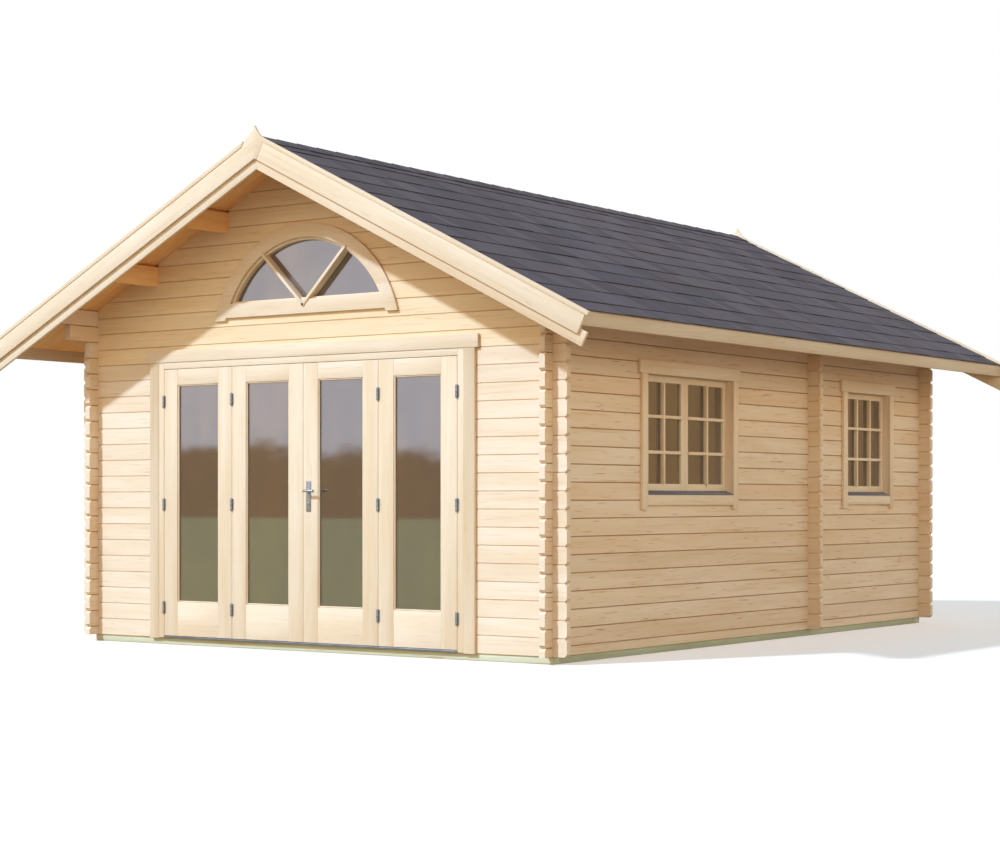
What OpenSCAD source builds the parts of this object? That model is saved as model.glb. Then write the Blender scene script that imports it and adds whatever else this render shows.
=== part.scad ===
// Log cabin with a folding front door, a segment window in the gable and two side windows.
// Two rooms behind one gable roof. Millimetres, +Z up, the front faces -Y.
// The origin is on the ground at the middle of the walls.

/* [Log walls] */
// Height of one log course
course = 114; // [95:1:140]
// Thickness of a log
log_t = 44; // [34:1:70]
// Width of the cabin over its side walls
cabin_w = 4000; // [3500:10:4800]
// Length of the cabin over its end walls
cabin_l = 5500; // [5300:10:6600]
// How far the end-wall logs run past the side walls
tail_x = 104; // [60:1:140]
// How far the side-wall logs run past the end walls
tail_y = 88; // [60:1:140]
// Depth of the bevel along each log joint
groove = 5; // [2:0.5:8]
// Bevel on the corners of the log ends
end_bevel = 18; // [6:1:26]
// Front face of the partition, from the front wall's outer face
partition_y = 3450; // [3300:10:3600]
// Width of the doorway in the partition
inner_door_w = 800; // [600:10:1000]

/* [Base and floor] */
// Height of the base beams under the walls
base_h = 48; // [40:1:80]
// Width of the base beams
base_w = 80; // [70:1:120]
// How far the base beams are set in from the wall face
base_inset = 10; // [0:1:20]
// Thickness of the floor boards
floor_t = 19; // [16:1:28]

/* [Roof] */
// Rise of the roof for each unit of run
pitch = 0.5; // [0.41:0.01:0.6]
// How far the side walls' top edge stands above the roof boards' underside, before it is cut off
eave_cut = 15; // [8:1:22]
// Thickness of the roof boards
board_t = 19; // [16:1:28]
// Thickness of the shingle layer
shingle_t = 6; // [4:1:10]
// Overhang of the roof past the end walls, to the face of the bargeboards
gable_over = 512; // [400:1:600]
// Overhang of the roof past the side walls, to the face of the fascia
eave_over = 500; // [300:1:600]
// Height of a purlin
purlin_h = 140; // [110:1:160]
// Place of the upper purlins, as a share of half the cabin's width
purlin_1 = 0.3573; // [0.32:0.0001:0.4]
// Place of the lower purlins, as a share of half the cabin's width
purlin_2 = 0.6905; // [0.62:0.0001:0.72]
// Thickness of the bargeboards
barge_t = 20; // [16:1:28]
// Width of the outer bargeboards
barge_w = 122; // [100:1:150]
// Width of the boards behind the bargeboards
under_w = 92; // [80:1:95]
// How much of the under boards shows below the bargeboards
under_show = 60; // [30:1:70]
// Height of the cap strip on the bargeboards
cap_h = 28; // [20:1:35]
// Height of the pointed horn over the roof boards' ridge
horn_h = 94; // [70:1:120]
// Width of the eave fascia
fascia_w = 95; // [70:1:110]
// Thickness of the eave fascia
fascia_t = 18; // [14:1:22]

/* [Folding door] */
// Width of one of the four door leaves
leaf_w = 638; // [530:1:700]
// Thickness of the door leaves
leaf_t = 44; // [38:1:50]
// Gap between the leaves
leaf_gap = 3; // [2:0.5:5]
// Width of the leaf stiles
stile = 126; // [100:1:150]
// Height of the bottom rail of a leaf
bottom_rail = 238; // [150:1:300]
// Height of the top rail of a leaf
top_rail = 111; // [80:1:150]
// Height of the handle's lever above the wall's foot
handle_z = 1031; // [950:1:1100]
// Width of the casing boards around the doors and over them
casing_w = 87; // [70:1:100]
// Thickness of the casing boards
casing_t = 22; // [16:1:28]

/* [Segment window] */
// Outer radius of the curved casing
arch_r = 824; // [680:1:900]
// Height of the curve's centre above the door head
arch_rise = 68; // [50:1:90]
// Height of the lower edge of the casing's bottom board above the door head
foot_rise = 286; // [260:1:310]

/* [Side windows] */
// Middle of the double window, from the front wall's outer face
win1_y = 1685; // [1600:5:1900]
// Clear width of the double window
win1_w = 1160; // [900:10:1400]
// Middle of the single window, from the front wall's outer face
win2_y = 4472; // [4420:1:4500]
// Clear width of the single window
win2_w = 767; // [600:1:780]
// Height of the window openings' lower edge above the wall's foot
win_z = 1005; // [900:5:1100]
// Clear height of the window openings
win_h = 802; // [700:1:820]
// Width of the window casing boards
wcase = 70; // [55:1:85]

/* [Hidden] */
eps = 0.4;
big = 9000;
hw = cabin_w / 2;
hl = cabin_l / 2;
yf = -hl;
ca = 1 / sqrt(1 + pitch * pitch);
sa = pitch * ca;
side_h = 20.5 * course;
eave_z = side_h - eave_cut;
ridge_z = eave_z + hw * pitch;
board_v = board_t / ca;
shingle_v = shingle_t / ca;
ye = hl + gable_over;
yb = ye - barge_t;
yu = yb - barge_t;
xe = hw + eave_over;
part_y = yf + partition_y;
head_z = 17 * course;
jamb = 49;
head_t = 46;
door_hw = 2 * leaf_w + 1.5 * leaf_gap + leaf_gap;
hole_hw = door_hw + jamb;
leaf_z = 16;
leaf_h = head_z - head_t - leaf_gap - leaf_z;
leaf_y = yf - 20;
arch_z = head_z + arch_rise;
arch_foot = head_z + foot_rise;
arch_in = arch_r - 94;
arch_hole = arch_in + 25;
rail_h = 96;
wframe = 30;
inner_door_h = 16 * course;
frame_back = 85;

pine = [0.93, 0.83, 0.66];
pine_light = [0.97, 0.90, 0.76];
green_wood = [0.72, 0.72, 0.50];
slate_grey = [0.27, 0.26, 0.29];
steel = [0.55, 0.56, 0.58];
glass_c = [0.62, 0.68, 0.72, 0.5];

// A box from its two corners.
module box(a, b) { translate(a) cube([b[0] - a[0], b[1] - a[1], b[2] - a[2]]); }
module rect(a, b) { translate(a) square([b[0] - a[0], b[1] - a[1]]); }

// Extrudes an outline drawn in X and Z along Y, from y0 to y1.
module along_y(y0, y1) { translate([0, y1, 0]) rotate([90, 0, 0]) linear_extrude(y1 - y0) children(); }
// Extrudes an outline drawn in Y and Z along X, from x0 to x1.
module along_x(x0, x1) {
    translate([x0, 0, 0]) rotate([90, 0, 90]) linear_extrude(x1 - x0) children();
}

// Height of the roof boards' underside at a distance x from the ridge.
function roof_at(x) = base_h + ridge_z - abs(x) * pitch;
// A point s down the right slope and n square off the roof boards' underside.
function slope(s, n) = [s * ca + n * sa, base_h + ridge_z - s * sa + n * ca];

// A wall's section with a bevelled joint on both faces at each course, from face a to face b.
module log_section(a, b, first, top) {
    g = groove;
    zs = [for (k = [0 : 40]) if ((first + k) * course < top - 20) base_h + (first + k) * course];
    polygon(concat(
        [[a, base_h]],
        [for (z = zs) each [[a, z - g], [a + g, z], [a, z + g]]],
        [[a, base_h + top], [b, base_h + top]],
        [for (i = [len(zs) - 1 : -1 : 0]) each [[b, zs[i] + g], [b - g, zs[i]], [b, zs[i] - g]]],
        [[b, base_h]]));
}

// The bevel notches at the log joints, in a line at u.
module end_notches(u, first, n) {
    for (k = [0 : n]) translate([u, base_h + (first + k) * course])
        rotate(45) square(end_bevel * sqrt(2), center = true);
}

// The room that the crossing logs take in a joint, from u0 to u1.
module crossing(u0, u1, first) {
    for (k = [0 : 20]) rect([u0, base_h + (first + k - 0.25) * course],
        [u1, base_h + (first + k + 0.25) * course]);
}

// The end walls' outline under the roof, with the log ends, the corner joints and the purlins' seats.
module end_outline() {
    difference() {
        intersection() {
            rect([-hw - tail_x, base_h], [hw + tail_x, base_h + ridge_z + 10]);
            polygon([[-xe, 0], [xe, 0], [xe, roof_at(xe)], [0, roof_at(0)], [-xe, roof_at(xe)]]);
        }
        for (s = [-1, 1]) {
            rect([s > 0 ? hw : -hw - tail_x - 1, base_h + 20 * course],
                [s > 0 ? hw + tail_x + 1 : -hw, big]);
            end_notches(s * (hw + tail_x), 0, 20);
        }
        crossing(hw - log_t, hw, 0);
        crossing(-hw, -hw + log_t, 0);
        for (x = purlin_xs) rect([x - log_t / 2, purlin_top(x) - purlin_h], [x + log_t / 2, big]);
    }
}

// The purlins lie flat-topped in open seats: four below the slopes and one below the ridge.
purlin_xs = [for (k = [-purlin_2, -purlin_1, 0, purlin_1, purlin_2]) k * hw];
function purlin_top(x) = roof_at(abs(x) + log_t / 2);

// An end wall from face y0 inwards, as logs with bevelled joints, cut to an outline.
module end_wall(y0) {
    intersection() {
        along_y(y0, y0 + log_t) children();
        along_x(-big, big) log_section(y0, y0 + log_t, 1, ridge_z + 50);
    }
}

// The side walls' outline, with long top logs that carry the roof's overhang.
module side_outline() {
    difference() {
        union() {
            rect([-hl - tail_y, base_h], [hl + tail_y, base_h + 18.5 * course]);
            rect([-hl - 279, base_h + 18.5 * course], [hl + 279, base_h + 19.5 * course]);
            rect([-yu, base_h + 19.5 * course], [yu, base_h + side_h]);
        }
        for (s = [-1, 1]) end_notches(s * (hl + tail_y), 0.5, 17);
        for (y = [yf, part_y, hl - log_t]) crossing(y, y + log_t, 0.5);
    }
}
module side_wall(s) {
    x0 = s > 0 ? hw - log_t : -hw;
    intersection() {
        along_x(x0, x0 + log_t) difference() { side_outline(); children(); }
        along_y(-big, big) intersection() {
            log_section(x0, x0 + log_t, 0.5, side_h);
            polygon([[-xe, 0], [xe, 0], [xe, roof_at(xe)], [0, roof_at(0)], [-xe, roof_at(xe)]]);
        }
    }
}

// ---- Base and floor
module base_beams() color(green_wood) {
    xo = hw - base_inset;
    yo = hl - base_inset;
    for (s = [-1, 1]) {
        box([-xo, s > 0 ? yo - base_w : -yo, 0], [xo, s > 0 ? yo : -yo + base_w, base_h]);
        box([s > 0 ? xo - base_w : -xo, -yo + base_w + eps, 0],
            [s > 0 ? xo : -xo + base_w, yo - base_w - eps, base_h]);
    }
    ym = part_y + log_t / 2;
    box([-xo + base_w + eps, ym - base_w / 2, 0], [xo - base_w - eps, ym + base_w / 2, base_h]);
}

module floor_joists() color(green_wood) {
    xo = hw - base_inset - base_w - eps;
    y0 = yf + base_inset + base_w;
    y1 = part_y + log_t / 2 - base_w / 2;
    y2 = y1 + base_w;
    y3 = hl - base_inset - base_w;
    for (i = [1 : 5]) box([-xo, y0 + (y1 - y0) * i / 6 - 22, 0], [xo, y0 + (y1 - y0) * i / 6 + 22, base_h]);
    for (i = [1 : 3]) box([-xo, y2 + (y3 - y2) * i / 4 - 22, 0], [xo, y2 + (y3 - y2) * i / 4 + 22, base_h]);
}

module floor_boards() color(pine) {
    xi = hw - log_t;
    box([-xi, yf + log_t, base_h], [xi, part_y, base_h + floor_t]);
    box([-xi, part_y + log_t, base_h], [xi, hl - log_t, base_h + floor_t]);
}

// ---- Walls
module front_wall_left() color(pine_light) end_wall(yf) intersection() {
    end_outline();
    rect([-big, 0], [-hole_hw, base_h + head_z]);
}
module front_wall_right() color(pine_light) end_wall(yf) intersection() {
    end_outline();
    rect([hole_hw, 0], [big, base_h + head_z]);
}
module front_gable_wall() color(pine_light) end_wall(yf) difference() {
    intersection() { end_outline(); rect([-big, base_h + head_z], [big, big]); }
    lunette_outline(arch_hole, arch_foot + rail_h - 25);
}
module back_wall() color(pine) end_wall(hl - log_t) end_outline();
module left_wall() color(pine) side_wall(-1);
module right_wall() color(pine) side_wall(1) {
    window_rect(win1_y, win1_w, wframe);
    window_rect(win2_y, win2_w, wframe);
}
module partition_left() color(pine) end_wall(part_y) intersection() {
    end_outline();
    rect([-big, 0], [-inner_door_w / 2, base_h + inner_door_h]);
}
module partition_right() color(pine) end_wall(part_y) intersection() {
    end_outline();
    rect([inner_door_w / 2, 0], [big, base_h + inner_door_h]);
}
module partition_top() color(pine) end_wall(part_y) intersection() {
    end_outline();
    rect([-big, base_h + inner_door_h], [big, big]);
}

// ---- Roof
module purlins() color(pine) along_y(-yu, yu)
    for (x = purlin_xs) rect([x - log_t / 2, purlin_top(x) - purlin_h], [x + log_t / 2, purlin_top(x)]);

// A layer that follows the right slope between two heights over the boards' underside.
module roof_layer(v0, v1, x1) along_y(-yb, yb) polygon([[0, roof_at(0) + v0], [x1, roof_at(x1) + v0],
    [x1, roof_at(x1) + v1], [0, roof_at(0) + v1]]);
module roof_boards_right() color(pine) roof_layer(0, board_v, xe - fascia_t);
module roof_boards_left() color(pine) mirror([1, 0, 0]) roof_layer(0, board_v, xe - fascia_t);
module shingles_right() color(slate_grey) roof_layer(board_v, board_v + shingle_v, xe + 12);
module shingles_left() color(slate_grey) mirror([1, 0, 0]) roof_layer(board_v, board_v + shingle_v, xe + 12);

// The shingles folded over the ridge.
module ridge_shingles() color(slate_grey) along_y(-yb, yb) {
    v = board_v + shingle_v + 0.05;
    r = 130 * ca;
    polygon([[0, roof_at(0) + v], [r, roof_at(r) + v], [r, roof_at(r) + v + 5],
        [0, roof_at(0) + v + 5], [-r, roof_at(r) + v + 5], [-r, roof_at(r) + v]]);
}

// The end of a slope's trim on the right, and the outlines of its three layers.
barge_n1 = 11;
barge_n0 = barge_n1 - barge_w;
barge_s = (xe + 60) * ca + (60 + pitch * xe) * sa - 14;
joint_s = 80;
module right_barge() polygon([slope(joint_s, barge_n0), slope(barge_s, barge_n0),
    slope(barge_s, barge_n1), slope(joint_s, barge_n1)]);
module left_barge() {
    z = base_h + ridge_z;
    low = slope(barge_s, barge_n0);
    high = slope(barge_s, barge_n1);
    polygon(concat(
        [[-low[0], low[1]], [0, z + barge_n0 / ca], slope(joint_s, barge_n0),
            slope(joint_s, barge_n1), slope(45, barge_n1 + cap_h), [24, z + 0.55 * horn_h]],
        [[0, z + horn_h], [-18, z + 0.62 * horn_h + 5], [-46, z + 0.42 * horn_h - 4],
            [-88, z + 0.06 * horn_h - 8]],
        [[-slope(115, barge_n1)[0], slope(115, barge_n1)[1]], [-high[0], high[1]]]));
}
module right_cap() polygon([slope(joint_s, barge_n1), slope(barge_s + 20, barge_n1),
    slope(barge_s + 20, barge_n1 + cap_h), slope(45, barge_n1 + cap_h)]);
module left_cap() mirror([1, 0]) polygon([slope(117, barge_n1), slope(barge_s + 20, barge_n1),
    slope(barge_s + 20, barge_n1 + cap_h), slope(86, barge_n1 + cap_h)]);
module under_board() {
    n0 = barge_n0 - under_show;
    intersection() {
        polygon([slope(-200, n0), slope(barge_s + 48, n0), slope(barge_s + 48, n0 + under_w),
            slope(-200, n0 + under_w)]);
        rect([eps / 2, 0], [big, big]);
    }
}

module both_ends(back) { rotate([0, 0, back ? 180 : 0]) children(); }
module bargeboards(back) color(pine_light) both_ends(back) along_y(-ye, -yb) {
    left_barge();
    translate([eps * ca, -eps * sa]) right_barge();
}
module cap_strips(back) color(pine_light) both_ends(back) along_y(-ye - 4, -yb) {
    left_cap();
    translate([eps * ca, -eps * sa]) right_cap();
}
module under_boards(back) color(pine_light) both_ends(back) along_y(-yb, -yu) {
    under_board();
    mirror([1, 0]) under_board();
}
module front_bargeboards() bargeboards(false);
module back_bargeboards() bargeboards(true);
module front_cap_strips() cap_strips(false);
module back_cap_strips() cap_strips(true);
module front_under_boards() under_boards(false);
module back_under_boards() under_boards(true);

module eave_fascias() color(pine_light) for (s = [0, 1]) mirror([s, 0, 0]) along_y(-yb, yb) {
    z = roof_at(xe) + board_v;
    polygon([[xe - fascia_t, z - fascia_w], [xe, z - fascia_w], [xe, z],
        [xe - fascia_t, z + fascia_t * pitch]]);
}

// ---- Folding door
module door_frame() color(pine_light) {
    for (s = [-1, 1]) box([s > 0 ? door_hw : -hole_hw, yf - 20, base_h],
        [s > 0 ? hole_hw : -door_hw, yf + log_t, base_h + head_z]);
    box([-door_hw + eps, yf - 20, base_h + leaf_z + leaf_h + leaf_gap],
        [door_hw - eps, yf + log_t, base_h + head_z]);
}
module door_casing() color(pine_light) {
    for (s = [-1, 1]) box([s > 0 ? hole_hw : -hole_hw - casing_w, yf - casing_t, base_h - 5],
        [s > 0 ? hole_hw + casing_w : -hole_hw, yf, base_h + head_z]);
    box([-hole_hw - casing_w - 26, yf - casing_t - 2, base_h + head_z],
        [hole_hw + casing_w + 26, yf, base_h + head_z + casing_w]);
}
module door_threshold() color(steel) box([-door_hw + eps, yf - 24, base_h],
    [door_hw - eps, yf + log_t, base_h + leaf_z - leaf_gap]);

function leaf_x(i) = (i - 3) * (leaf_w + leaf_gap) + leaf_gap / 2;
module leaf(i) color(pine_light) {
    x = leaf_x(i);
    z = base_h + leaf_z;
    difference() {
        box([x, leaf_y, z], [x + leaf_w, leaf_y + leaf_t, z + leaf_h]);
        box([x + stile, leaf_y - 1, z + bottom_rail],
            [x + leaf_w - stile, leaf_y + leaf_t + 1, z + leaf_h - top_rail]);
    }
}
module door_leaf_1() leaf(1);
module door_leaf_2() leaf(2);
module door_leaf_3() leaf(3);
module door_leaf_4() leaf(4);
module door_glass() color(glass_c) for (i = [1 : 4]) box(
    [leaf_x(i) + stile, leaf_y + 18, base_h + leaf_z + bottom_rail],
    [leaf_x(i) + leaf_w - stile, leaf_y + 26, base_h + leaf_z + leaf_h - top_rail]);

// Barrel hinges: three on each line where two leaves or a leaf and the frame meet.
hinge_shares = [0.106, 0.493, 0.88];
module door_hinges() color(steel)
    for (x = [-door_hw, leaf_x(2) - leaf_gap, leaf_x(4) - leaf_gap, door_hw - leaf_gap], k = hinge_shares)
        translate([x + leaf_gap / 2, leaf_y - 7, base_h + leaf_z + k * leaf_h - 45])
            cylinder(r = 7, h = 90, $fn = 24);

// The handle's plate, neck and lever.
module door_handle() color(steel) {
    x = leaf_x(3) + 48;
    z = base_h + handle_z;
    box([x - 20, leaf_y - 6, z - 138], [x + 20, leaf_y, z + 67]);
    translate([x, leaf_y - 6, z]) rotate([90, 0, 0]) cylinder(r = 9, h = 36, $fn = 24);
    translate([x - 9, leaf_y - 50, z]) rotate([0, 90, 0]) cylinder(r = 9, h = 90, $fn = 24);
}

// ---- Segment window
module lunette_outline(r, z) intersection() {
    translate([0, base_h + arch_z]) circle(r = r, $fn = 180);
    rect([-big, base_h + z], [big, big]);
}
module lunette_casing() color(pine_light) along_y(yf - casing_t, yf) difference() {
    union() {
        lunette_outline(arch_r, arch_foot);
        difference() {
            lunette_outline(arch_r, arch_foot - 20);
            lunette_outline(arch_in, 0);
        }
    }
    lunette_outline(arch_in, arch_foot + rail_h);
}
module lunette_frame() color(pine_light) along_y(yf, yf + log_t) difference() {
    lunette_outline(arch_hole - eps, arch_foot + rail_h - 25 + eps);
    lunette_outline(arch_in - 16, arch_foot + rail_h + 14);
}
module lunette_glass() color(glass_c) along_y(yf + log_t - 10, yf + log_t - 2)
    lunette_outline(arch_in - 16, arch_foot + rail_h + 14);

// ---- Side windows
module window_rect(y, w, m) rect([yf + y - w / 2 - m, base_h + win_z - m],
    [yf + y + w / 2 + m, base_h + win_z + win_h + m]);
module casing_outline(y, w) {
    a = yf + y - w / 2;
    b = yf + y + w / 2;
    z0 = base_h + win_z;
    z1 = z0 + win_h;
    rect([a, z0 - wcase], [b, z0]);
    rect([a - wcase, z0 - wcase - 28], [a, z1]);
    rect([b, z0 - wcase - 28], [b + wcase, z1]);
    rect([a - wcase - 30, z1], [b + wcase + 30, z1 + casing_w + 3]);
}
module window_casings() color(pine) along_x(hw, hw + casing_t) {
    casing_outline(win1_y, win1_w);
    casing_outline(win2_y, win2_w);
}
module window_frames() color(pine) for (w = [[win1_y, win1_w], [win2_y, win2_w]])
    along_x(hw - frame_back, hw) difference() {
        window_rect(w[0], w[1], wframe);
        window_rect(w[0], w[1], 0);
    }

// A sash between two places along the wall, with its rails and stiles.
sash_m = 46;
module sash_rect(a, b, m) rect([a + m, base_h + win_z + 28 + eps + m],
    [b - m, base_h + win_z + win_h - 2 * eps - m]);
sashes = [[yf + win1_y - win1_w / 2 + eps, yf + win1_y - eps],
    [yf + win1_y + eps, yf + win1_y + win1_w / 2 - eps],
    [yf + win2_y - win2_w / 2 + eps, yf + win2_y + win2_w / 2 - eps]];
module window_sashes() color(pine) for (s = sashes) along_x(hw - 80, hw - 40) difference() {
    sash_rect(s[0], s[1], 0);
    sash_rect(s[0], s[1], sash_m);
}
module window_glass() color(glass_c) for (s = sashes) along_x(hw - 64, hw - 56) sash_rect(s[0], s[1], sash_m);

// Sloping metal sills at the foot of the windows.
module window_sills() color(steel) for (w = [[win1_y, win1_w], [win2_y, win2_w]]) {
    z = base_h + win_z;
    along_y(yf + w[0] - w[1] / 2, yf + w[0] + w[1] / 2) polygon([[hw - 80, z], [hw + casing_t + 4, z],
        [hw + casing_t + 4, z + 3], [hw - 39, z + 28], [hw - 80, z + 28]]);
}

base_beams();
floor_joists();
floor_boards();
front_wall_left();
front_wall_right();
front_gable_wall();
back_wall();
left_wall();
right_wall();
partition_left();
partition_right();
partition_top();
purlins();
roof_boards_left();
roof_boards_right();
shingles_left();
shingles_right();
ridge_shingles();
front_bargeboards();
front_under_boards();
front_cap_strips();
back_bargeboards();
back_under_boards();
back_cap_strips();
eave_fascias();
door_frame();
door_casing();
door_threshold();
door_leaf_1();
door_leaf_2();
door_leaf_3();
door_leaf_4();
door_glass();
door_hinges();
door_handle();
lunette_casing();
lunette_frame();
lunette_glass();
window_casings();
window_frames();
window_sashes();
window_glass();
window_sills();
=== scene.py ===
import math
import random

import bpy
from mathutils import Matrix, Vector


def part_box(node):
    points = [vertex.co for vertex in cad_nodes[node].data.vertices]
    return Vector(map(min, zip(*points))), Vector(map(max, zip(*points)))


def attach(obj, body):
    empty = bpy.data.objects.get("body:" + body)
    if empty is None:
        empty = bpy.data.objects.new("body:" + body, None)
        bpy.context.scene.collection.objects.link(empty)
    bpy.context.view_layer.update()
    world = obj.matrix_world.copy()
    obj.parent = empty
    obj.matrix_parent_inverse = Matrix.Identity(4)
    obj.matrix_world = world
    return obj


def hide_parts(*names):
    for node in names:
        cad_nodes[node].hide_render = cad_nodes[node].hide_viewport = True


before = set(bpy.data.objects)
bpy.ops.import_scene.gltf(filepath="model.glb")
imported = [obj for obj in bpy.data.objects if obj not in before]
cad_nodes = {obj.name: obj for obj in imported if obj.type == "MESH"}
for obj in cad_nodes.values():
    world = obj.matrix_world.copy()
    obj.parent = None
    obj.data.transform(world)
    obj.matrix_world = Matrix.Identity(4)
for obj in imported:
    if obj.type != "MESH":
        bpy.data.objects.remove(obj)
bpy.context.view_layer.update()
bpy.ops.object.select_all(action="DESELECT")

# ---- Sizes of the cabin, in metres
COURSE = 0.114                      # height of one log
FOOT = 0.048                        # top of the base beams, where the logs start
LOG = 0.044                         # thickness of a log
WALL_X, WALL_Y = 2.0, 2.75          # outer faces of the walls
PARTITION_Y = (0.700, 0.744)        # faces of the wall between the two rooms
PITCH = 0.5
CA = 1 / math.sqrt(1 + PITCH * PITCH)
SA = PITCH * CA
RIDGE = 3.370                       # underside of the roof boards on the middle line
BOARD = 0.019                       # thickness of the roof boards
EAVE_X = 2.5                        # outer edge of the roof, without the shingles
LEAF_X = (-1.2805, -0.6395, 0.0015, 0.6425)
STILE, LOW_RAIL, TOP_RAIL = 0.126, 0.238, 0.111
DOOR_CASING, HEAD_LINING = 0.087, 0.055
WINDOWS = ((-1.065, 1.160), (1.722, 0.767))     # middle and clear width of the two openings
SILL_Z, LINTEL_Z = 1.053, 1.855                 # foot and head of the openings
WINDOW_CASING = 0.070
SET_BACK = 0.0004                   # how far a rail lies behind the stiles it meets


# ---- Modelling by hand
def drop_selection():
    bpy.ops.object.select_all(action="DESELECT")


def take(piece):
    """Makes one piece the only selected and active one."""
    drop_selection()
    piece.select_set(True)
    bpy.context.view_layer.objects.active = piece
    return piece


def settle(piece):
    """Puts a piece's place, turn and scale into its mesh."""
    take(piece)
    bpy.ops.object.transform_apply(location=True, rotation=True, scale=True)
    return piece


def timber(low, high):
    """A squared length of wood between two corners."""
    drop_selection()
    middle = [(a + b) / 2 for a, b in zip(low, high)]
    bpy.ops.mesh.primitive_cube_add(size=1, location=middle)
    piece = bpy.context.object
    piece.scale = [b - a for a, b in zip(low, high)]
    return settle(piece)


def rod(radius, start, end, sides=24):
    """A round bar between two points."""
    drop_selection()
    a, b = Vector(start), Vector(end)
    bpy.ops.mesh.primitive_cylinder_add(vertices=sides, radius=radius, depth=(b - a).length,
                                        location=(a + b) / 2)
    piece = bpy.context.object
    piece.rotation_mode = "QUATERNION"
    piece.rotation_quaternion = (b - a).to_track_quat("Z", "Y")
    return settle(piece)


def move_part(piece, chosen, offset):
    """Slides the vertices that a test picks, as with the move tool in edit mode."""
    take(piece)
    bpy.ops.object.mode_set(mode="EDIT")
    bpy.ops.mesh.select_mode(type="VERT")
    bpy.ops.mesh.select_all(action="DESELECT")
    bpy.ops.object.mode_set(mode="OBJECT")
    for vertex in piece.data.vertices:
        vertex.select = chosen(vertex.co)
    bpy.ops.object.mode_set(mode="EDIT")
    bpy.ops.transform.translate(value=offset)
    bpy.ops.object.mode_set(mode="OBJECT")
    return piece


def ease(piece, width=0.002, segments=2, angle=30):
    """Takes the sharpness off the edges."""
    take(piece)
    bevel = piece.modifiers.new("ease", "BEVEL")
    bevel.width, bevel.segments = width, segments
    bevel.limit_method, bevel.angle_limit = "ANGLE", math.radians(angle)
    bpy.ops.object.modifier_apply(modifier=bevel.name)
    return piece


def soften(piece, angle=32):
    """Shades the gentle edges smooth and leaves the sharp ones."""
    take(piece)
    bpy.ops.object.shade_smooth_by_angle(angle=math.radians(angle))
    return piece


def copy_of(piece, matrix=Matrix.Identity(4)):
    """Another of the same, with its own mesh, moved into place."""
    other = bpy.data.objects.new(piece.name, piece.data.copy())
    other.data.transform(matrix)
    bpy.context.scene.collection.objects.link(other)
    return other


def moved(piece, x, y, z):
    """A copy of a piece, slid to another place."""
    return copy_of(piece, Matrix.Translation((x, y, z)))


def join(parts):
    drop_selection()
    for part in parts:
        part.select_set(True)
    bpy.context.view_layer.objects.active = parts[0]
    if len(parts) > 1:
        bpy.ops.object.join()
    return parts[0]


def discard(piece):
    bpy.data.objects.remove(piece)


def with_finishes(parts, finishes, index):
    """Gives parts all the finishes of what they belong to, and their faces one of these."""
    for part in parts:
        part.data.materials.clear()
        for finish in finishes:
            part.data.materials.append(finish)
        for face in part.data.polygons:
            face.material_index = index
    return parts


def finished(piece, name, finishes, nodes=()):
    """Names a piece, lays its finishes on unless its parts have theirs already, and lets it
    stand for its CAD nodes."""
    piece.name = piece.data.name = name
    if finishes:
        piece.data.materials.clear()
    for finish in finishes:
        piece.data.materials.append(finish)
    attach(piece, "root")
    if nodes:
        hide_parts(*nodes)
    return piece


def worked(node, width=0.002, segments=2):
    """A CAD node's shape with its edges eased, as a new piece."""
    piece = bpy.data.objects.new(node + "_worked", cad_nodes[node].data.copy())
    bpy.context.scene.collection.objects.link(piece)
    take(piece)
    bpy.ops.object.mode_set(mode="EDIT")
    bpy.ops.mesh.select_all(action="SELECT")
    bpy.ops.mesh.remove_doubles(threshold=0.00002)
    bpy.ops.mesh.dissolve_limited(angle_limit=math.radians(0.5))
    bpy.ops.object.mode_set(mode="OBJECT")
    ease(piece, width, segments)
    return soften(piece)


# ---- Shader maths
class Value:
    """A number that varies over a surface, with the usual signs of arithmetic."""

    def __init__(self, nodes, socket):
        self.nodes, self.socket = nodes, socket

    def __add__(self, other):
        return self.nodes.maths("ADD", self, other)

    def __radd__(self, other):
        return self.nodes.maths("ADD", other, self)

    def __sub__(self, other):
        return self.nodes.maths("SUBTRACT", self, other)

    def __rsub__(self, other):
        return self.nodes.maths("SUBTRACT", other, self)

    def __mul__(self, other):
        return self.nodes.maths("MULTIPLY", self, other)

    def __rmul__(self, other):
        return self.nodes.maths("MULTIPLY", other, self)

    def __truediv__(self, other):
        return self.nodes.maths("DIVIDE", self, other)

    def __rtruediv__(self, other):
        return self.nodes.maths("DIVIDE", other, self)

    def __abs__(self):
        return self.nodes.maths("ABSOLUTE", self)

    def __gt__(self, other):
        return self.nodes.maths("GREATER_THAN", self, other)

    def floor(self):
        return self.nodes.maths("FLOOR", self)

    def fraction(self):
        return self.nodes.maths("FRACT", self)

    def sine(self):
        return self.nodes.maths("SINE", self)

    def root(self):
        return self.nodes.maths("SQRT", self)

    def step(self, low, high):
        """0 up to low, 1 from high, smooth between."""
        node = self.nodes.add("ShaderNodeMapRange", {"interpolation_type": "SMOOTHSTEP"},
                              {0: self, 1: low, 2: high, 3: 0.0, 4: 1.0})
        return Value(self.nodes, node.outputs[0])


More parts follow.
